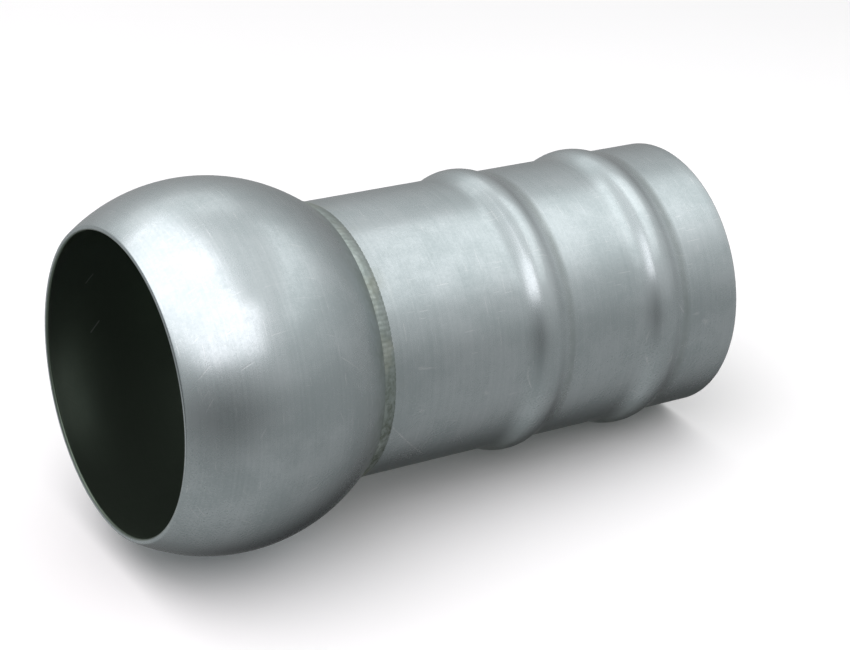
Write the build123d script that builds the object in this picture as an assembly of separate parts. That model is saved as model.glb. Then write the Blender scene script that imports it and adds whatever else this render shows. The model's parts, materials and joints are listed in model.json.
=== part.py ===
from build123d import *

import os
from math import sqrt

# Ball half of a lever-lock pipe coupling with a hose tail: a pressed steel ball, a
# steel tube with two rolled hose beads, and the weld run that joins them. The mating
# half closes over the ball with its seal, and the ball swivels in it about its centre.
#
# The coupling's axis is X. The origin is the ball's centre, the mouth of the ball
# opens towards -X and the hose is pushed on from +X. +Z is up in a level pipeline.
# All sizes are in millimetres.

# The ball
ball_diameter = 134.0
ball_wall = 2.0
mouth_setback = 37.0  # from the ball's centre to the flat rim of the mouth
rim_round = 0.8  # both edges of the mouth's rim

# The hose tail
tail_diameter = 102.0  # outside, to suit a hose of 4 inch bore
tail_wall = 2.0
tail_reach = 198.0  # from the ball's centre to the hose end
tail_entry = 3.0  # how far the tube stands into the ball, past the neck's inner lip
end_round = 0.8  # both edges of the hose end

# The rolled hose beads, whose wall is as thick as the rest of the tube
bead_count = 2
bead_height = 2.5
bead_crown_radius = 13.0
bead_root_radius = 19.5
bead_pitch = 52.0
end_land = 34.0  # from the last bead's middle to the hose end

# The neck joint
neck_gap = 0.1  # between the tube and the hole in the ball, on the radius
weld_leg = 3.5  # along the tube, from the neck
weld_height = 1.6  # up the ball, above the tube
weld_crown = 0.25  # how far the middle of the weld's face stands proud of a flat one

ball_radius = ball_diameter / 2
tail_radius = tail_diameter / 2
neck_radius = tail_radius + neck_gap


def ball_x(radius, inset=0.0):
    """X of the rear half of the ball's surface, inset from the outside, at a radius."""
    return sqrt((ball_radius - inset) ** 2 - radius**2)


def rim_radius(inset=0.0):
    """Radius of the ball's surface, inset from the outside, in the mouth's plane."""
    return sqrt((ball_radius - inset) ** 2 - mouth_setback**2)


def arc_about(centre, start, end):
    """The shorter arc from start to end about a centre."""
    centre, start, end = Vector(centre), Vector(start), Vector(end)
    middle = (start - centre + end - centre).normalized() * (start - centre).length
    return ThreePointArc(start, centre + middle, end)


def turned(outline):
    """Solid that a closed outline in the XY plane sweeps about the X axis."""
    return revolve(make_face(outline), axis=Axis.X)


def rounded_band(x, inner, outer, radius, outwards):
    """Flat end of a sheet at x from its outer to its inner edge, both rounded.

    outwards is +1 where the end faces +X and -1 where it faces -X. The two arcs start
    and finish one radius back from the end.
    """
    back = x - outwards * radius
    return [
        arc_about((back, outer - radius), (back, outer), (x, outer - radius)),
        Line((x, outer - radius), (x, inner + radius)),
        arc_about((back, inner + radius), (x, inner + radius), (back, inner)),
    ]


def ball_end():
    """Pressed ball shell, cut flat at the mouth and pierced at the neck for the tube."""
    inner_radius = ball_radius - ball_wall
    neck_outside, neck_inside = ball_x(neck_radius), ball_x(neck_radius, ball_wall)
    outer_rim, inner_rim = (-mouth_setback, rim_radius()), (-mouth_setback, rim_radius(ball_wall))
    shell = turned(
        [
            ThreePointArc(outer_rim, (0, ball_radius), (neck_outside, neck_radius)),
            Line((neck_outside, neck_radius), (neck_inside, neck_radius)),
            ThreePointArc((neck_inside, neck_radius), (0, inner_radius), inner_rim),
            Line(inner_rim, outer_rim),
        ]
    )
    rim_edges = shell.edges().group_by(Axis.X)[0].filter_by(GeomType.CIRCLE)
    return fillet(rim_edges, rim_round)


def bead_places():
    """X of the middle of each hose bead, the one nearest the ball first."""
    last = tail_reach - end_land
    return [last - bead_pitch * step for step in reversed(range(bead_count))]


def bead_half_width():
    """Half the length of tube that one bead takes up."""
    span = bead_crown_radius + bead_root_radius
    return sqrt(span**2 - (span - bead_height) ** 2)


def bead_line(middle, inset):
    """One bead's surface in order of rising X: root arc, crown arc and root arc.

    inset is 0 on the outside of the tube and the wall's thickness on the inside.
    """
    span = bead_crown_radius + bead_root_radius
    half = bead_half_width()
    surface = tail_radius - inset
    crown = Vector(middle, tail_radius + bead_height - bead_crown_radius)
    roots = [Vector(middle + side * half, tail_radius + bead_root_radius) for side in (-1, 1)]
    joins = [root + (crown - root) * ((bead_root_radius + inset) / span) for root in roots]
    return [
        arc_about(roots[0], (middle - half, surface), joins[0]),
        arc_about(crown, joins[0], joins[1]),
        arc_about(roots[1], joins[1], (middle + half, surface)),
    ]


def tail_line(start, end, inset):
    """The tube's surface from start to end, with its beads."""
    edges, x, surface = [], start, tail_radius - inset
    for middle in bead_places():
        edges.append(Line((x, surface), (middle - bead_half_width(), surface)))
        edges += bead_line(middle, inset)
        x = middle + bead_half_width()
    return [*edges, Line((x, surface), (end, surface))]


def hose_tail():
    """Tube with rolled beads, from its square end inside the ball to the hose end."""
    start = ball_x(neck_radius, ball_wall) - tail_entry
    end = tail_reach - end_round
    bore_radius = tail_radius - tail_wall
    return turned(
        [
            *tail_line(start, end, 0.0),
            *rounded_band(tail_reach, bore_radius, tail_radius, end_round, 1),
            *tail_line(start, end, tail_wall),
            Line((start, bore_radius), (start, tail_radius)),
        ]
    )


def weld_bead():
    """Fillet weld that lies on the ball and on the tube and closes the neck's gap."""
    neck = ball_x(neck_radius)
    top = Vector(ball_x(tail_radius + weld_height), tail_radius + weld_height)
    toe = Vector(neck + weld_leg, tail_radius)
    along = toe - top
    proud = Vector(-along.Y, along.X).normalized() * weld_crown
    return turned(
        [
            arc_about((0, 0), top, (neck, neck_radius)),
            Line((neck, neck_radius), (neck, tail_radius)),
            Line((neck, tail_radius), toe),
            ThreePointArc(toe, (top + toe) / 2 + proud, top),
        ]
    )


os.makedirs("parts", exist_ok=True)
for name, solid in {"ball_end": ball_end(), "hose_tail": hose_tail(), "weld_bead": weld_bead()}.items():
    export_step(solid, f"parts/{name}.step")
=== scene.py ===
"""Looks of a galvanised ball end with a hose tail: turned shells, weld run, zinc finishes, studio.

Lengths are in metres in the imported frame: the coupling's axis is X, the ball's centre is the
origin, the mouth opens towards -X and the hose is pushed on from +X.
"""

import json
import logging
import math
from dataclasses import dataclass
from enum import Enum
from typing import Mapping, Optional, Sequence, Union

import bpy
from mathutils import Matrix, Vector


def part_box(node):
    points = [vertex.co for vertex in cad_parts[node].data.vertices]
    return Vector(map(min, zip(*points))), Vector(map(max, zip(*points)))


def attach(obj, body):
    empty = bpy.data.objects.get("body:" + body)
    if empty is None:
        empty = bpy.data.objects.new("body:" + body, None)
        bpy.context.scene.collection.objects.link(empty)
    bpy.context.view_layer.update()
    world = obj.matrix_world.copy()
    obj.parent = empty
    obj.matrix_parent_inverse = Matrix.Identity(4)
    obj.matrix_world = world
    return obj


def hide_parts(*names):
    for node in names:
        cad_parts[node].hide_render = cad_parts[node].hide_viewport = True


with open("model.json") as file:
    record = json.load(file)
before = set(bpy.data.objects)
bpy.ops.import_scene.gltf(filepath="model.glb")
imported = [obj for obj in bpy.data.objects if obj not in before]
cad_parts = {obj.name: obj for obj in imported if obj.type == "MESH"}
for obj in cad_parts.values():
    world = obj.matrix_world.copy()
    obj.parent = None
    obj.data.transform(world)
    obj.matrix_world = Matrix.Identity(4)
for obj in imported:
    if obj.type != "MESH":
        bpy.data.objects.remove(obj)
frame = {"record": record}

MILLIMETRE = 0.001
MERGE_DISTANCE = 2.0e-6
BODY = "root"

Colour = tuple[float, float, float]
Place = tuple[float, float]
Spot = tuple[float, float, float]
Feed = Union["Value", bpy.types.NodeSocket, float, Sequence[float]]

log = logging.getLogger("coupling")


class Light(Enum):
    """Tints of the studio's lamps."""

    DAYLIGHT = (1.0, 1.0, 1.0)
    BLUSH = (1.0, 0.93, 0.96)


def mount(name: str) -> Mapping[str, object]:
    """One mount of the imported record.

    Args:
        name: The mount's name.

    Returns:
        The mount as the record holds it.
    """
    return next(entry for entry in frame["record"]["mounts"] if entry["name"] == name)


def mount_radius(name: str) -> float:
    """Radius of a round mount.

    Args:
        name: The mount's name.

    Returns:
        The radius in metres.
    """
    return mount(name)["dims"]["r_mm"] * MILLIMETRE


# --------------------------------------------------------------------------------------------------
# Shader arithmetic


class Value:
    """A number socket that is used like a number: each operation adds its Math node."""

    def __init__(self, recipe: "Recipe", socket: bpy.types.NodeSocket) -> None:
        """Wrap a socket.

        Args:
            recipe: The recipe whose tree holds the socket.
            socket: The socket to wrap.
        """
        self.recipe = recipe
        self.socket = socket

    def _maths(self, operation: str, *terms: Feed) -> "Value":
        """Add a Math node.

        Args:
            operation: The Math node's operation.
            terms: Its inputs in order.

        Returns:
            The node's result.
        """
        made = self.recipe.node("ShaderNodeMath", {"operation": operation}, dict(enumerate(terms)))
        return Value(self.recipe, made.outputs[0])

    def __add__(self, other: Feed) -> "Value":
        """Sum."""
        return self._maths("ADD", self, other)

    def __sub__(self, other: Feed) -> "Value":
        """Difference."""
        return self._maths("SUBTRACT", self, other)

    def __rsub__(self, other: Feed) -> "Value":
        """Difference from a number."""
        return self._maths("SUBTRACT", other, self)

    def __mul__(self, other: Feed) -> "Value":
        """Product."""
        return self._maths("MULTIPLY", self, other)

    def __truediv__(self, other: Feed) -> "Value":
        """Quotient."""
        return self._maths("DIVIDE", self, other)

    def __pow__(self, other: Feed) -> "Value":
        """Power."""
        return self._maths("POWER", self, other)

    def __rpow__(self, other: Feed) -> "Value":
        """Power of a number."""
        return self._maths("POWER", other, self)

    def __abs__(self) -> "Value":
        """Size without sign."""
        return self._maths("ABSOLUTE", self)

    __radd__ = __add__
    __rmul__ = __mul__

    def hypot(self, other: "Value") -> "Value":
        """Root of the sum of two squares.

        Args:
            other: The second term.

        Returns:
            The root.
        """
        return (self * self + other * other) ** 0.5

    def at_least(self, floor: float) -> "Value":
        """The larger of this and a number."""
        return self._maths("MAXIMUM", self, floor)

    def at_most(self, ceiling: float) -> "Value":
        """The smaller of this and a number."""
        return self._maths("MINIMUM", self, ceiling)

    def rise(self, low: float, high: float) -> "Value":
        """Smooth step.

        Args:
            low: Where the step starts, at 0.
            high: Where it ends, at 1. A high below low gives a falling step.

        Returns:
            The step.
        """
        flip = high < low
        made = self.recipe.node(
            "ShaderNodeMapRange",
            {"interpolation_type": "SMOOTHSTEP"},
            {0: self, 1: min(low, high), 2: max(low, high), 3: float(flip), 4: float(not flip)},
        )
        return Value(self.recipe, made.outputs[0])

    def near(self, place: float, reach: float) -> "Value":
        """Smooth hump.

        Args:
            place: Where the hump is 1.
            reach: How far to each side it falls to 0.

        Returns:
            The hump.
        """
        return abs(self - place).rise(reach, 0.0)


class Recipe:
    """A material in the making: its node tree, and short ways to fill it."""

    def __init__(self, name: str) -> None:
        """Start an empty material.

        Args:
            name: The material's name.
        """
        self.material = bpy.data.materials.new(name)
        self.material.use_nodes = True
        self.fill(self.material.node_tree, "Object")

    @classmethod
    def of_tree(cls, tree: bpy.types.NodeTree, coordinates: str) -> "Recipe":
        """Start on a tree that is not a material's.

        Args:
            tree: The node tree, which is emptied.
            coordinates: The texture coordinates that X, Y and Z are read from.

        Returns:
            The recipe.
        """
        recipe = cls.__new__(cls)
        recipe.fill(tree, coordinates)
        return recipe

    def fill(self, tree: bpy.types.NodeTree, coordinates: str) -> None:
        """Empty a tree and read its coordinates.

        Args:
            tree: The node tree.
            coordinates: The texture coordinates that X, Y and Z are read from.
        """
        self.tree = tree
        self.tree.nodes.clear()
        self.point = self.node("ShaderNodeTexCoord").outputs[coordinates]
        axes = self.node("ShaderNodeSeparateXYZ", inputs={0: self.point}).outputs
        self.x, self.y, self.z = (Value(self, socket) for socket in axes)
        self.from_axis = self.y.hypot(self.z)

    def node(
        self,
        kind: str,
        settings: Optional[Mapping[str, object]] = None,
        inputs: Optional[Mapping[Union[int, str], Feed]] = None,
    ) -> bpy.types.Node:
        """Add a node.

        Args:
            kind: The node's type.
            settings: Its properties, which are set first.
            inputs: A value or a link for each socket, by number or name.

        Returns:
            The node.
        """
        made = self.tree.nodes.new(kind)
        for name, setting in (settings or {}).items():
            setattr(made, name, setting)
        for key, feed in (inputs or {}).items():
            if isinstance(feed, Value):
                feed = feed.socket
            if isinstance(feed, bpy.types.NodeSocket):
                self.tree.links.new(feed, made.inputs[key])
            else:
                made.inputs[key].default_value = feed
        return made

    def noise(
        self, size: Sequence[float], detail: float = 2.0, rough: float = 0.5, at: float = 0.0
    ) -> Value:
        """Cloudy noise.

        Args:
            size: The clouds' size along X, Y and Z in metres.
            detail: How many finer octaves it has.
            rough: How strong those are.
            at: An offset, so that two noises of one size differ.

        Returns:
            The noise, mostly from 0.3 to 0.7.
        """
        scaled = self.node(
            "ShaderNodeVectorMath",
            {"operation": "MULTIPLY_ADD"},
            {0: self.point, 1: [1.0 / length for length in size], 2: (at, at, at)},
        )
        made = self.node(
            "ShaderNodeTexNoise",
            None,
            {"Vector": scaled.outputs[0], "Scale": 1.0, "Detail": detail, "Roughness": rough},
        )
        return Value(self, made.outputs[0])

    def even_noise(
        self, size: float, detail: float = 2.0, rough: float = 0.5, at: float = 0.0
    ) -> Value:
        """Cloudy noise of one size all ways.

        Args:
            size: The clouds' size in metres.
            detail: How many finer octaves it has.
            rough: How strong those are.
            at: An offset, so that two noises of one size differ.

        Returns:
            The noise, mostly from 0.3 to 0.7.
        """
        return self.noise((size, size, size), detail, rough, at)

    def towards(self, direction: Sequence[float], width: float) -> Value:
        """Round lobe about a direction, for coordinates that are directions themselves.

        Args:
            direction: The lobe's middle.
            width: Its angular width in radians.

        Returns:
            The lobe, 1 in its middle.
        """
        x, y, z = Vector(direction).normalized()
        return math.e ** ((self.x * x + self.y * y + self.z * z - 1.0) / width**2)

    def stroke(self, start: Sequence[float], end: Sequence[float], width: float) -> Value:
        """Thin straight mark between two points.

        Args:
            start: Where it starts.
            end: Where it ends.
            width: How far to each side it fades to nothing.

        Returns:
            The mark, 1 along its middle.
        """
        run = Vector(end) - Vector(start)
        x, y, z = self.x - start[0], self.y - start[1], self.z - start[2]
        along = ((x * run.x + y * run.y + z * run.z) / run.length_squared).at_least(0.0).at_most(1.0)
        x, y, z = x - along * run.x, y - along * run.y, z - along * run.z
        return (x * x + y * y + z * z).rise(width**2, 0.0)

    def tint(self, share: Feed, under: Feed, over: Feed) -> bpy.types.NodeSocket:
        """Lay one colour over another.

        Args:
            share: How much of the upper colour shows.
            under: The lower colour.
            over: The upper colour.

        Returns:
            The mixed colour.
        """
        colours = {6: under, 7: over}
        fed = {key: (*c, 1.0) if isinstance(c, tuple) else c for key, c in colours.items()}
        return self.node("ShaderNodeMix", {"data_type": "RGBA"}, {0: share, **fed}).outputs[2]

    def finish(self, colour: Feed, roughness: Feed, height: Feed, metallic: Feed) -> bpy.types.Material:
        """Close the recipe with its shader.

        Args:
            colour: Base colour.
            roughness: Roughness.
            height: Height of the surface over the mesh, in metres.
            metallic: Share of bare metal.

        Returns:
            The finished material.
        """
        bump = self.node("ShaderNodeBump", None, {"Strength": 1.0, "Distance": 1.0, "Height": height})
        shader = self.node(
            "ShaderNodeBsdfPrincipled",
            None,
            {
                "Base Color": colour,
                "Roughness": roughness,
                "Metallic": metallic,
                "Normal": bump.outputs[0],
            },
        )
        self.node("ShaderNodeOutputMaterial", None, {"Surface": shader.outputs[0]})
        return self.material


# --------------------------------------------------------------------------------------------------
# Finishes


@dataclass(frozen=True)
class ZincFinish:
    """Satin zinc on steel sheet that was turned about X, with the marks all the pieces share."""

    name: str
    light: Colour = (0.485, 0.535, 0.55)
    dark: Colour = (0.365, 0.42, 0.43)
    # Dark colour of oxide and dirt; the finishes also use it for painted shade.
    oxide_and_shade: Colour = (0.10, 0.122, 0.10)
    # Colour of the inner wall, far darker than the zinc: painted shade that keeps the hollow inside
    # dark.
    within: Colour = (0.070, 0.098, 0.065)
    bare: Colour = (0.61, 0.64, 0.65)
    tarnish: Colour = (0.34, 0.33, 0.22)
    satin: float = 0.22
    mottle_size: float = 0.022
    grain_size: float = 0.0011
    grain_depth: float = 2.0e-6
    ring_pitch: float = 0.0009
    ring_stretch: float = 90.0
    ring_depth: float = 3.0e-6
    scratch_depth: float = 6.0e-6
    ripple_size: float = 0.028
    ripple_depth: float = 1.1e-4
    patch_size: float = 0.014
    stain_share: float = 0.12
    mark_width: float = 0.0003
    # Cap on the share of oxide, dirt and painted shade.
    most_soot_and_shade: float = 0.95

    def mottle(self, recipe: Recipe) -> Value:
        """Broad cloudiness of the coat, from 0 to 1."""
        return recipe.even_noise(self.mottle_size, 4.0, 0.6).rise(0.34, 0.66)

    def grain(self, recipe: Recipe) -> Value:
        """Fine crystal grain of the coat, from 0 to 1."""
        return recipe.even_noise(self.grain_size, 3.0, 0.65, 7.0).rise(0.3, 0.7)

    def rings(self, recipe: Recipe) -> Value:
        """Fine lines round the axis, left by the forming tool, from 0 to 1."""
        around = self.ring_pitch * self.ring_stretch
        return recipe.noise((self.ring_pitch, around, around), 4.0, 0.7, 3.0).rise(0.3, 0.7)

    def scratches(self, recipe: Recipe) -> Value:
        """Sparse handling scratches that run two ways, 1 on a scratch."""
        leaning = recipe.noise((0.011, 0.0005, 0.016), 1.0, 0.5, 21.0).rise(0.70, 0.76)
        crossing = recipe.noise((0.0006, 0.013, 0.009), 1.0, 0.5, 33.0).rise(0.71, 0.77)
        return leaning + crossing

    def patches(self, recipe: Recipe, full: float = 0.68) -> Value:
        """Scattered patches, from 0 to 1.

        Args:
            recipe: The recipe that they are added to.
            full: The noise's value from which a patch is whole.

        Returns:
            The patches.
        """
        return recipe.even_noise(self.patch_size, 3.0, 0.6, 9.0).rise(0.50, full)

    def strokes(self, recipe: Recipe, runs: Sequence[tuple[Spot, Spot]]) -> Value:
        """Deep scratches.

        Args:
            recipe: The recipe that they are added to.
            runs: Where each scratch starts and ends.

        Returns:
            The scratches, 1 along their middles.
        """
        return sum((recipe.stroke(start, end, self.mark_width) for start, end in runs), start=0.0)

    def inside(self, recipe: Recipe) -> Feed:
        """Share of the inner surface, 1 within the wall; it takes the painted shade of the inside."""
        return 0.0

    def soot_and_shade(self, recipe: Recipe) -> Feed:
        """Share of the dark colour, 1 where it is thickest: oxide, trodden dirt and, where a finish
        adds it, painted shade.
        """
        return 0.0

    def stain(self, recipe: Recipe) -> Feed:
        """Share of yellow stain."""
        return 0.0

    def polish(self, recipe: Recipe) -> Feed:
        """Share of rubbed, brighter metal."""
        return 0.0

    def marks(self, recipe: Recipe) -> Feed:
        """The few deep scratches that stand out, 1 on a scratch."""
        return 0.0

    def make(self) -> bpy.types.Material:
        """Build the material.

        Returns:
            The material.
        """
        recipe = Recipe(self.name)
        mottle, grain, rings = self.mottle(recipe), self.grain(recipe), self.rings(recipe)
        scratches = self.scratches(recipe)
        inside, soot_and_shade = self.inside(recipe), self.soot_and_shade(recipe)
        stain, polish = self.stain(recipe), self.polish(recipe)
        colour = recipe.tint(mottle * 0.55 + grain * 0.2 + rings * 0.25, self.light, self.dark)
        colour = recipe.tint(polish * 0.5 + scratches * 0.4, colour, self.bare)
        # Oxide and dirt, and the painted shade that the finishes add.
        colour = recipe.tint(soot_and_shade, colour, self.oxide_and_shade)
        colour = recipe.tint(stain, colour, self.tarnish)
        # Painted shade inside: the inner wall is made far darker than the zinc.
        colour = recipe.tint(inside * 0.9, colour, self.within)
        colour = recipe.tint(self.marks(recipe), colour, self.bare)
        roughness = self.satin + mottle * 0.05 + grain * 0.05
        roughness = roughness + inside * 0.08 + soot_and_shade * 0.12 - polish * 0.05
        height = recipe.even_noise(self.ripple_size, 1.0, 0.4, 11.0) * self.ripple_depth
        height = height + rings * self.ring_depth + grain * self.grain_depth
        height = height - scratches * self.scratch_depth
        return recipe.finish(colour, roughness, height, 1.0 - stain * 0.5 - soot_and_shade * 0.25 - inside * 0.2)


@dataclass(frozen=True)
class BallFinish(ZincFinish):
    """Zinc on the pressed ball: darker and faintly yellowed towards the weld, with painted shade low
    down.
    """

    # Dark colour at the neck, also used for the painted shade low down.
    oxide_and_shade: Colour = (0.155, 0.19, 0.165)
    mark_width: float = 0.00035
    mark_share: float = 0.35
    neck: float = 0.0
    mid_radius: float = 0.0
    deep: tuple[tuple[Spot, Spot], ...] = (
        ((-0.0178, 0.0619, 0.0090), (-0.0149, 0.0621, 0.0119)),
        ((-0.0154, 0.0621, -0.0116), (-0.0116, 0.0634, -0.0084)),
    )

    def marks(self, recipe: Recipe) -> Value:
        """The deep scratches, both within the ball."""
        return self.strokes(recipe, self.deep) * self.mark_share

    def inside(self, recipe: Recipe) -> Value:
        """Share of the inner surface, 1 within the wall's middle."""
        blend = 0.0004
        return recipe.from_axis.hypot(recipe.x).rise(self.mid_radius + blend, self.mid_radius - blend)

    def soot_and_shade(self, recipe: Recipe) -> Value:
        """Share of the dark colour: a ragged fade to the neck and a band close to it, thicker low down,
        where the extra is painted shade.
        """
        ragged = recipe.even_noise(0.006, 4.0, 0.6, 5.0).rise(0.25, 0.75)
        # Painted shade: more darkening low down.
        low = recipe.z.rise(0.04, -0.04)
        broad = recipe.x.rise(self.neck - 0.026, self.neck) * (0.25 + 0.25 * low)
        close = recipe.x.rise(self.neck - 0.011, self.neck - 0.001) * (0.25 + 0.3 * ragged + 0.25 * low)
        return (broad * ragged + close).at_most(self.most_soot_and_shade)

    def stain(self, recipe: Recipe) -> Value:
        """Share of yellow stain: patches at the neck."""
        return recipe.x.rise(self.neck - 0.006, self.neck) * self.patches(recipe) * self.stain_share


@dataclass(frozen=True)
class TailFinish(ZincFinish):
    """Zinc on the rolled tube: bright on the beads' crowns, with painted shade behind each bead and
    underneath.
    """

    mark_share: float = 0.8
    beads: tuple[float, ...] = ()
    bead_reach: float = 0.0
    bead_swell: float = 0.0024
    neck: float = 0.0
    end: float = 0.0
    mid_radius: float = 0.0
    radius: float = 0.0
    deep: tuple[Place, Place] = ((0.0474, 102.9), (0.0672, 127.5))
    deep_steps: int = 4

    def at_beads(self, recipe: Recipe, reach: float, past: float = 0.0) -> Value:
        """One smooth hump for each bead.

        Args:
            recipe: The recipe that they are added to.
            reach: How far to each side a hump falls to 0.
            past: How far it stands from the bead's middle, towards the hose end.

        Returns:
            The humps.
        """
        return sum((recipe.x.near(bead + past, reach) for bead in self.beads), start=0.0)

    def marks(self, recipe: Recipe) -> Value:
        """The deep scratch, which winds from the weld to the underside: 1 on the scratch."""
        (x, turn), (last_x, last_turn) = self.deep
        spots = []
        for step in range(self.deep_steps + 1):
            share = step / self.deep_steps
            angle = math.radians(turn + (last_turn - turn) * share)
            across, up = -self.radius * math.sin(angle), self.radius * math.cos(angle)
            spots.append((x + (last_x - x) * share, across, up))
        worn = recipe.even_noise(0.0018, 2.0, 0.5, 41.0).rise(0.35, 0.55)
        return self.strokes(recipe, list(zip(spots, spots[1:]))) * worn * self.mark_share

    def inside(self, recipe: Recipe) -> Value:
        """Share of the inner surface, 1 within the wall's middle."""
        blend = 0.0005
        middle = self.mid_radius + self.at_beads(recipe, self.bead_reach * 1.2) * self.bead_swell
        return (recipe.from_axis - middle).rise(blend, -blend)

    def soot_and_shade(self, recipe: Recipe) -> Value:
        """Share of the dark colour: painted shade behind each bead and underneath, and ragged darker
        patches at the weld's toe.
        """
        ragged = recipe.even_noise(0.007, 4.0, 0.6, 15.0).rise(0.2, 0.8)
        # Painted shade behind each bead, on the side towards the hose end.
        root_shade = self.at_beads(recipe, 0.0030, self.bead_reach * 0.78) * (0.18 + 0.22 * ragged)
        toe = recipe.x.near(self.neck, 0.005) * 0.11 * ragged
        # Painted shade: the underside is darker.
        underside_shade = recipe.z.rise(-0.022, -0.046) * (0.50 + 0.30 * ragged)
        return (root_shade + toe + underside_shade).at_most(self.most_soot_and_shade)

    def stain(self, recipe: Recipe) -> Value:
        """Share of yellow stain: patches at the weld's toe."""
        return recipe.x.near(self.neck, 0.006) * self.patches(recipe) * self.stain_share

    def polish(self, recipe: Recipe) -> Value:
        """Share of rubbed metal: the beads' crowns and the hose end's edge."""
        edge = recipe.x.rise(self.end - 0.0016, self.end - 0.0004)
        return self.at_beads(recipe, 0.005) * 0.15 + edge * 0.6


@dataclass(frozen=True)
class WeldFinish(ZincFinish):
    """Zinc over weld metal: lumpy, specked and faintly yellowed in patches."""

    light: Colour = (0.45, 0.505, 0.49)
    dark: Colour = (0.27, 0.325, 0.31)
    # Dark colour of the specks and of the painted shade low down.
    oxide_and_shade: Colour = (0.085, 0.105, 0.08)
    satin: float = 0.30
    ripple_size: float = 0.0035
    ripple_depth: float = 3.0e-4
    stain_share: float = 0.18

    def soot_and_shade(self, recipe: Recipe) -> Value:
        """Share of the dark colour: specks along the run, and painted shade that thickens them and
        darkens the run low down.
        """
        # Painted shade low down.
        low = recipe.z.rise(0.035, -0.02)
        specks = recipe.even_noise(0.003, 4.0, 0.6, 5.0).rise(0.36, 0.64)
        return specks * (0.30 + 0.40 * low) + low * 0.30

    def stain(self, recipe: Recipe) -> Value:
        """Share of yellow stain, in patches."""
        return self.patches(recipe, 0.66) * self.stain_share


# --------------------------------------------------------------------------------------------------
# Turned meshes


class Outline:
    """Closed outline in the XZ plane, drawn a stretch at a time with a pen, then spun about X."""

    def __init__(self, name: str, start: Place) -> None:
        """Put the pen down.

        Args:
            name: The new piece's name.
            start: X and distance from the axis of the first point.
        """
        self.name = name
        self.pen = start
        bpy.ops.object.select_all(action="DESELECT")
        bpy.ops.mesh.primitive_plane_add(size=MILLIMETRE, location=(start[0], 0.0, start[1]))
        self.piece = bpy.context.active_object
        self.piece.name = self.piece.data.name = name
        bpy.ops.object.transform_apply(location=True)
        bpy.ops.object.mode_set(mode="EDIT")
        bpy.ops.mesh.select_all(action="SELECT")
        bpy.ops.mesh.merge(type="CENTER")

    def line_to(self, end: Place, steps: int = 1) -> "Outline":
        """Draw a straight stretch.

        Args:
            end: X and distance from the axis of its end.
            steps: How many edges it has.

        Returns:
            This outline.
        """
        step = ((end[0] - self.pen[0]) / steps, 0.0, (end[1] - self.pen[1]) / steps)
        for _ in range(steps):
            bpy.ops.mesh.extrude_region_move(TRANSFORM_OT_translate={"value": step})
        self.pen = end
        return self

    def arc_to(self, end: Place, centre: Place, steps: int) -> "Outline":
        """Draw an arc, the shorter way round.

        Args:
            end: X and distance from the axis of its end.
            centre: Its centre.
            steps: How many edges it has.

        Returns:
            This outline.
        """
        first, last = (math.atan2(p[0] - centre[0], p[1] - centre[1]) for p in (self.pen, end))
        turn = (last - first + math.pi) % math.tau - math.pi
        middle = (centre[0], 0.0, centre[1])
        bpy.ops.mesh.spin(steps=steps, angle=-turn, center=middle, axis=(0.0, 1.0, 0.0))
        self.pen = end
        return self

    def merge_doubles(self) -> None:
        """Select the whole mesh and merge the vertices that coincide."""
        bpy.ops.mesh.select_all(action="SELECT")
        bpy.ops.mesh.remove_doubles(threshold=MERGE_DISTANCE)

    def turned(self, steps: int, smooth_below: float = 40.0) -> bpy.types.Object:
        """Close the outline and spin it all the way round the axis.

        Args:
            steps: How many facets go round.
            smooth_below: Largest angle in degrees between faces that are shaded as one.

        Returns:
            The finished piece.
        """
        self.merge_doubles()
        steps = steps
        bpy.ops.mesh.spin(steps=steps, angle=math.tau, center=(0.0, 0.0, 0.0), axis=(1.0, 0.0, 0.0))
        return self.joined_up(smooth_below)

    def rippled(self, root: Place, swells: Sequence[float], count: int) -> bpy.types.Object:
        """Close the outline, sweep one ripple from it and copy the ripple all the way round the axis.

        Args:
            root: X and distance from the axis of the corner that the ripple swells from.
            swells: Size of each of the ripple's sections, as a share of the outline.
            count: How many ripples go round.

        Returns:
            The finished piece.
        """
        self.merge_doubles()
        step = math.tau / (count * len(swells))
        bpy.ops.transform.resize(value=[swells[0]] * 3, center_override=(root[0], 0.0, root[1]))
        for number, (last, swell) in enumerate(zip(swells, (*swells[1:], swells[0]))):
            corner = (root[0], root[1] * math.sin(number * step), root[1] * math.cos(number * step))
            bpy.ops.mesh.extrude_region()
            bpy.ops.transform.resize(value=[swell / last] * 3, center_override=corner)
            bpy.ops.transform.rotate(value=step, orient_axis="X", center_override=(0.0, 0.0, 0.0))
        bpy.ops.mesh.select_all(action="SELECT")
        bpy.ops.mesh.spin(
            steps=count - 1,
            angle=math.tau * (count - 1) / count,
            dupli=True,
            center=(0.0, 0.0, 0.0),
            axis=(1.0, 0.0, 0.0),
        )
        return self.joined_up(60.0)

    def joined_up(self, smooth_below: float) -> bpy.types.Object:
        """Join the swept mesh to itself and shade it.

        Args:
            smooth_below: Largest angle in degrees between faces that are shaded as one.

        Returns:
            The finished piece.
        """
        self.merge_doubles()
        bpy.ops.mesh.normals_make_consistent(inside=False)
        bpy.ops.object.mode_set(mode="OBJECT")
        bpy.ops.object.shade_smooth_by_angle(angle=math.radians(smooth_below))
        return self.piece


def dress(piece: bpy.types.Object, material: bpy.types.Material, node: str, slot: str) -> None:
    """Give a piece its material and its place in the frame.

    Args:
        piece: The piece.
        material: Its material.
        node: The CAD node that it stands for.
        slot: The record's material slot; not used.
    """
    piece.data.materials.clear()
    piece.data.materials.append(material)
    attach(piece, BODY)
    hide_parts(node)
    log.info("%s: %d faces, material %s", piece.name, len(piece.data.polygons), material.name)


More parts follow.
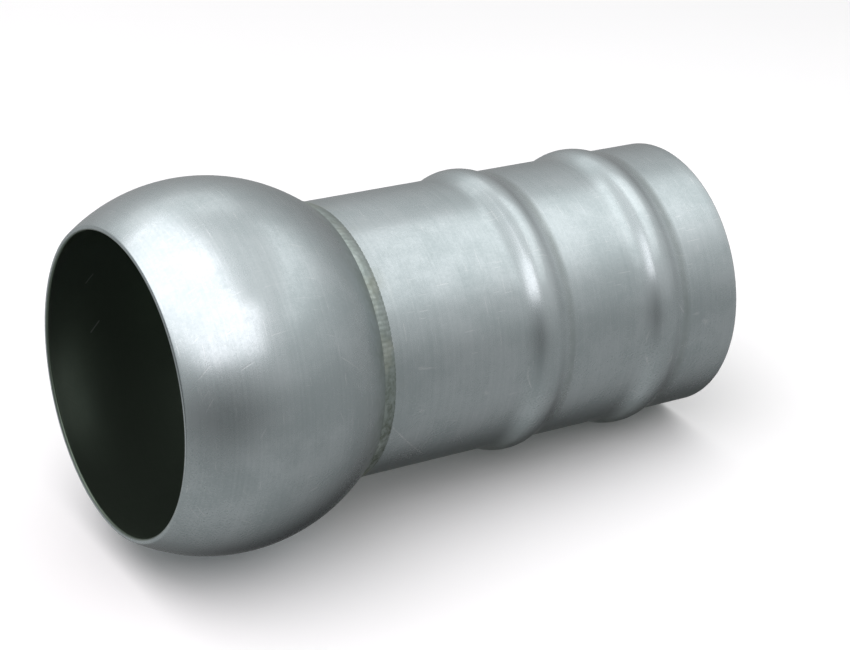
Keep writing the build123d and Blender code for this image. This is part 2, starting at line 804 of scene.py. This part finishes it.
@dataclass
class BallShell:
    """Pressed ball, cut flat at the mouth and pierced at the neck."""

    node: str = "ball_end"
    slot: str = "ball_steel"
    radius: float = mount_radius("ball_seal")
    wall: float = mount_radius("hose_land") - mount_radius("shank_bore")
    mouth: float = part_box("ball_end")[0].x
    neck_gap: float = 0.1 * MILLIMETRE
    hole: float = mount_radius("hose_land") + neck_gap
    rim_round: float = 0.8 * MILLIMETRE
    facets_round: int = 288
    facets_along: int = 96
    rim_steps: int = 5

    def reach(self, from_axis: float, inset: float = 0.0) -> float:
        """X of the rear half of the ball's surface at a distance from the axis."""
        return math.sqrt((self.radius - inset) ** 2 - from_axis**2)

    def rim_corner(self, inset: float, side: int) -> tuple[Place, Place, Place]:
        """The rounding of one edge of the mouth's rim.

        Args:
            inset: Depth of the edge's surface below the ball's outside.
            side: 1 for the outer edge and -1 for the inner one.

        Returns:
            Where the rounding meets the flat rim, its centre, and where it meets the ball.
        """
        surface = self.radius - inset
        inner = surface - side * self.rim_round
        x = self.mouth + self.rim_round
        r = math.sqrt(inner**2 - x**2)
        touch = (x * surface / inner, r * surface / inner)
        return (self.mouth, r), (x, r), touch

    def build(self) -> bpy.types.Object:
        """Turn the shell.

        Returns:
            The shell.
        """
        outer_flat, outer_centre, outer_touch = self.rim_corner(0.0, 1)
        inner_flat, inner_centre, inner_touch = self.rim_corner(self.wall, -1)
        outline = Outline("ball_shell", outer_touch)
        outline.arc_to((self.reach(self.hole), self.hole), (0.0, 0.0), self.facets_along)
        outline.line_to((self.reach(self.hole, self.wall), self.hole), 3)
        outline.arc_to(inner_touch, (0.0, 0.0), self.facets_along)
        outline.arc_to(inner_flat, inner_centre, self.rim_steps)
        outline.line_to(outer_flat, 2)
        outline.arc_to(outer_touch, outer_centre, self.rim_steps)
        return outline.turned(self.facets_round)

    def finish(self) -> bpy.types.Material:
        """The shell's finish."""
        return BallFinish(
            "ball_zinc", neck=self.reach(self.hole), mid_radius=self.radius - self.wall / 2
        ).make()


@dataclass
class HoseTail:
    """Tube with rolled hose beads."""

    node: str = "hose_tail"
    slot: str = "tail_steel"
    radius: float = mount_radius("hose_land")
    bore: float = mount_radius("shank_bore")
    start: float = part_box("hose_tail")[0].x
    end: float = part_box("hose_tail")[1].x
    bead_height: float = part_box("hose_tail")[1].z - mount_radius("hose_land")
    bead_count: int = 2
    bead_pitch: float = 52.0 * MILLIMETRE
    end_land: float = 34.0 * MILLIMETRE
    crown_radius: float = 13.0 * MILLIMETRE
    root_radius: float = 19.5 * MILLIMETRE
    end_round: float = 0.8 * MILLIMETRE
    facets_round: int = 256
    root_steps: int = 9
    crown_steps: int = 14
    land_steps: int = 8
    end_steps: int = 6

    def beads(self) -> tuple[float, ...]:
        """X of each bead's middle, from the ball to the hose end."""
        last = self.end - self.end_land
        return tuple(last - self.bead_pitch * step for step in reversed(range(self.bead_count)))

    def bead_reach(self) -> float:
        """Half the length of tube that a bead takes up."""
        span = self.crown_radius + self.root_radius
        return math.sqrt(span**2 - (span - self.bead_height) ** 2)

    def draw_bead(self, outline: Outline, middle: float, inset: float, heading: int) -> None:
        """Draw one bead's surface.

        Args:
            outline: The outline that the pen is drawing.
            middle: X of the bead's middle.
            inset: Depth of the surface below the tube's outside.
            heading: 1 to draw towards the hose end and -1 towards the ball.
        """
        span, reach = self.crown_radius + self.root_radius, self.bead_reach()
        crown = Vector((middle, self.radius + self.bead_height - self.crown_radius))
        sides = (-heading, heading)
        near, far = (Vector((middle + side * reach, self.radius + self.root_radius)) for side in sides)
        share = (self.root_radius + inset) / span
        joins = [tuple(root + (crown - root) * share) for root in (near, far)]
        outline.arc_to(joins[0], tuple(near), self.root_steps)
        outline.arc_to(joins[1], tuple(crown), self.crown_steps)
        outline.arc_to((middle + heading * reach, self.radius - inset), tuple(far), self.root_steps)

    def draw_run(self, outline: Outline, to: float, inset: float, heading: int) -> None:
        """Draw the tube's surface with all its beads.

        Args:
            outline: The outline that the pen is drawing.
            to: X of the run's end.
            inset: Depth of the surface below the tube's outside.
            heading: 1 to draw towards the hose end and -1 towards the ball.
        """
        for middle in self.beads()[::heading]:
            foot = middle - heading * self.bead_reach()
            outline.line_to((foot, self.radius - inset), self.land_steps)
            self.draw_bead(outline, middle, inset, heading)
        outline.line_to((to, self.radius - inset), self.end_steps)

    def build(self) -> bpy.types.Object:
        """Turn the tube.

        Returns:
            The tube.
        """
        round_at = self.end - self.end_round
        outline = Outline("hose_tube", (self.start, self.radius))
        self.draw_run(outline, round_at, 0.0, 1)
        outer = self.radius - self.end_round
        outline.arc_to((self.end, outer), (round_at, outer), self.end_steps)
        inner = self.bore + self.end_round
        outline.line_to((self.end, inner))
        outline.arc_to((round_at, self.bore), (round_at, inner), self.end_steps)
        self.draw_run(outline, self.start, self.radius - self.bore, -1)
        outline.line_to((self.start, self.radius), 2)
        return outline.turned(self.facets_round)

    def finish(self) -> bpy.types.Material:
        """The tube's finish."""
        return TailFinish(
            "tail_zinc",
            beads=self.beads(),
            bead_reach=self.bead_reach(),
            neck=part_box("weld_bead")[1].x,
            end=self.end,
            mid_radius=(self.radius + self.bore) / 2,
            radius=self.radius,
        ).make()


@dataclass
class WeldRun:
    """Rippled fillet weld round the neck."""

    node: str = "weld_bead"
    slot: str = "weld_steel"
    ball_radius: float = mount_radius("ball_seal")
    tube_radius: float = mount_radius("hose_land")
    top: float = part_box("weld_bead")[1].z
    toe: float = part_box("weld_bead")[1].x
    crown: float = 0.25 * MILLIMETRE
    ripples: int = 176
    leg_steps: int = 3
    face_steps: int = 8
    swells: tuple[float, ...] = (0.94, 0.98, 0.995, 1.0, 0.985)

    def build(self) -> bpy.types.Object:
        """Model one ripple and copy it all the way round.

        Returns:
            The weld run.
        """
        top = (math.sqrt(self.ball_radius**2 - self.top**2), self.top)
        neck = (math.sqrt(self.ball_radius**2 - self.tube_radius**2), self.tube_radius)
        toe = (self.toe, self.tube_radius)
        outline = Outline("weld_run", top)
        outline.arc_to(neck, (0.0, 0.0), self.leg_steps)
        outline.line_to(toe, self.leg_steps)
        half = math.dist(toe, top) / 2
        sweep = (half**2 + self.crown**2) / (2 * self.crown)
        along = Vector((top[0] - toe[0], top[1] - toe[1])).normalized()
        middle = Vector(((top[0] + toe[0]) / 2, (top[1] + toe[1]) / 2))
        centre = middle - Vector((along.y, -along.x)) * (sweep - self.crown)
        outline.arc_to(top, tuple(centre), self.face_steps)
        return outline.rippled(neck, self.swells, self.ripples)

    def finish(self) -> bpy.types.Material:
        """The run's finish."""
        return WeldFinish("weld_zinc").make()


# --------------------------------------------------------------------------------------------------
# Studio


@dataclass
class Softbox:
    """Flat, even, square-cornered lamp that faces a point, or one way where a heading is given."""

    name: str
    place: Spot
    size: tuple[float, float]
    brightness: float
    tint: Light = Light.DAYLIGHT
    facing: Spot = (0.0, 0.0, 0.0)
    heading: Optional[Spot] = None
    spread: float = 180.0

    def build(self) -> None:
        """Hang the lamp."""
        lamp = bpy.data.lights.new(self.name, "AREA")
        lamp.shape = "RECTANGLE"
        lamp.size, lamp.size_y = self.size
        lamp.energy = self.brightness * math.pi * self.size[0] * self.size[1]
        lamp.color = self.tint.value
        lamp.spread = math.radians(self.spread)
        holder = bpy.data.objects.new(self.name, lamp)
        bpy.context.scene.collection.objects.link(holder)
        aim = Vector(self.heading) if self.heading else Vector(self.facing) - Vector(self.place)
        holder.location = self.place
        holder.rotation_euler = aim.to_track_quat("-Z", "Y").to_euler()
        holder.visible_camera = False


@dataclass(frozen=True)
class Shade:
    """Round darker part of the surroundings, as the metal mirrors it."""

    towards: Spot
    width: float
    depth: float

    def lay(self, recipe: Recipe, tone: Value) -> Value:
        """Darken the surroundings in this direction.

        Args:
            recipe: The recipe of the surroundings.
            tone: Their brightness without this shade.

        Returns:
            Their brightness with it.
        """
        return tone * (1.0 - recipe.towards(self.towards, self.width) * self.depth)


@dataclass
class Studio:
    """Floor, lamps and surroundings."""

    ball_radius: float = mount_radius("ball_seal")
    tail_end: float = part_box("hose_tail")[1].x
    tail_radius: float = mount_radius("hose_land")
    end_round: float = HoseTail.end_round
    key_brightness: float = 1.4
    fill_brightness: float = 0.4
    floor_size: float = 9.0
    floor_colour: Colour = (0.91, 0.912, 0.915)
    wall: float = 0.60
    climb: float = 0.85
    ground: float = 0.66
    doorway: Shade = Shade((-0.29, -0.95, -0.03), width=0.36, depth=0.55)
    beneath: Shade = Shade((0.50, 0.42, -0.74), width=0.42, depth=0.92)
    corner: Shade = Shade((0.82, 0.55, 0.20), width=0.30, depth=0.3)
    hose_side_depth: float = 0.12

    def lean(self) -> float:
        """Angle at which a floor touches both the ball and the hose end's edge."""
        x, z = self.tail_end - self.end_round, self.tail_radius - self.end_round
        return math.asin((self.ball_radius - self.end_round) / math.hypot(x, z)) - math.atan2(z, x)

    def floor(self) -> None:
        """Lay the floor under the coupling as it lies."""
        lean = self.lean()
        bpy.ops.object.select_all(action="DESELECT")
        bpy.ops.mesh.primitive_plane_add(size=self.floor_size)
        floor = bpy.context.active_object
        floor.name = "floor"
        down = Vector((math.sin(lean), 0.0, -math.cos(lean)))
        floor.location = down * self.ball_radius
        floor.rotation_euler = (-down).to_track_quat("Z", "Y").to_euler()
        recipe = Recipe("floor_paper")
        cloud = recipe.even_noise(0.5, 3.0, 0.5).rise(0.3, 0.7)
        shade = tuple(part * 0.97 for part in self.floor_colour)
        colour = recipe.tint(cloud, self.floor_colour, shade)
        floor.data.materials.append(recipe.finish(colour, 0.9, recipe.even_noise(0.002) * 1.0e-5, 0.0))
        floor.visible_glossy = False

    def lamps(self) -> tuple[Softbox, ...]:
        """The lamps: two that butt together over the mouth, one over the tail and one behind."""
        down, blush = (0.0, 0.0, -1.0), Light.BLUSH
        key, fill = self.key_brightness, self.fill_brightness
        return (
            Softbox("key_front", (-0.2325, -0.665, 0.545), (0.735, 0.63), key, blush, heading=down),
            Softbox("key_top", (-0.29, 0.075, 0.545), (0.62, 0.85), key, blush, heading=down),
            Softbox("tail", (0.35, -0.15, 0.36), (0.26, 0.60), fill, spread=120.0, heading=down),
            Softbox("back", (0.15, 0.88, 0.80), (0.90, 0.50), fill),
        )

    def surround(self) -> None:
        """Surround the coupling: a room that brightens upwards over a grey ground, with shades."""
        world = bpy.data.worlds.new("surroundings")
        world.use_nodes = True
        recipe = Recipe.of_tree(world.node_tree, "Generated")
        on_ground = recipe.z.rise(-0.05, -0.35)
        tone = self.wall + recipe.z.at_least(0.0) * self.climb
        tone = tone * (1.0 - on_ground) + on_ground * self.ground
        for shade in (self.doorway, self.beneath, self.corner):
            tone = shade.lay(recipe, tone)
        mouth_side = recipe.x.rise(-1.10, -0.70)
        hose_side = 1.0 - recipe.x.rise(0.10, 0.50) * on_ground * self.hose_side_depth
        tone = tone * mouth_side * hose_side
        backdrop = recipe.node("ShaderNodeBackground", None, {"Strength": tone})
        recipe.node("ShaderNodeOutputWorld", None, {"Surface": backdrop.outputs[0]})
        bpy.context.scene.world = world

    def build(self) -> None:
        """Set up the floor, lamps and surroundings."""
        self.floor()
        for lamp in self.lamps():
            lamp.build()
        self.surround()
        bpy.context.scene.view_settings.view_transform = "Standard"
        lean = math.degrees(self.lean())
        log.info("studio: %d lamps, floor leaning %.2f degrees", len(self.lamps()), lean)


@dataclass
class Camera:
    """Long lens that looks down on the mouth and the near side."""

    lens: float = 103.6
    distance: float = 0.8620
    azimuth: float = -34.17
    elevation: float = 25.62
    roll: float = 4.43
    aim: Spot = (0.0672, -0.0354, 0.0183)

    def build(self) -> None:
        """Set up the camera."""
        azimuth, elevation = math.radians(self.azimuth), math.radians(self.elevation)
        level = math.cos(elevation)
        back = Vector((math.sin(azimuth) * level, -math.cos(azimuth) * level, math.sin(elevation)))
        camera = bpy.data.objects.new("camera", bpy.data.cameras.new("camera"))
        bpy.context.scene.collection.objects.link(camera)
        camera.data.lens = self.lens
        camera.data.sensor_width = 36.0
        camera.data.clip_start = 0.01
        roll = Matrix.Rotation(math.radians(self.roll), 3, "Z")
        turned = back.to_track_quat("Z", "Y").to_matrix() @ roll
        place = Matrix.Translation(Vector(self.aim) + back * self.distance)
        camera.matrix_world = place @ turned.to_4x4()
        bpy.context.scene.camera = camera


def main() -> None:
    """Build the pieces, the studio and the camera."""
    logging.basicConfig(level=logging.INFO, format="%(name)s: %(message)s")
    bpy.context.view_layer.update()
    for part in (BallShell(), HoseTail(), WeldRun()):
        dress(part.build(), part.finish(), part.node, part.slot)
    Studio().build()
    Camera().build()


if __name__ == "__main__":
    main()
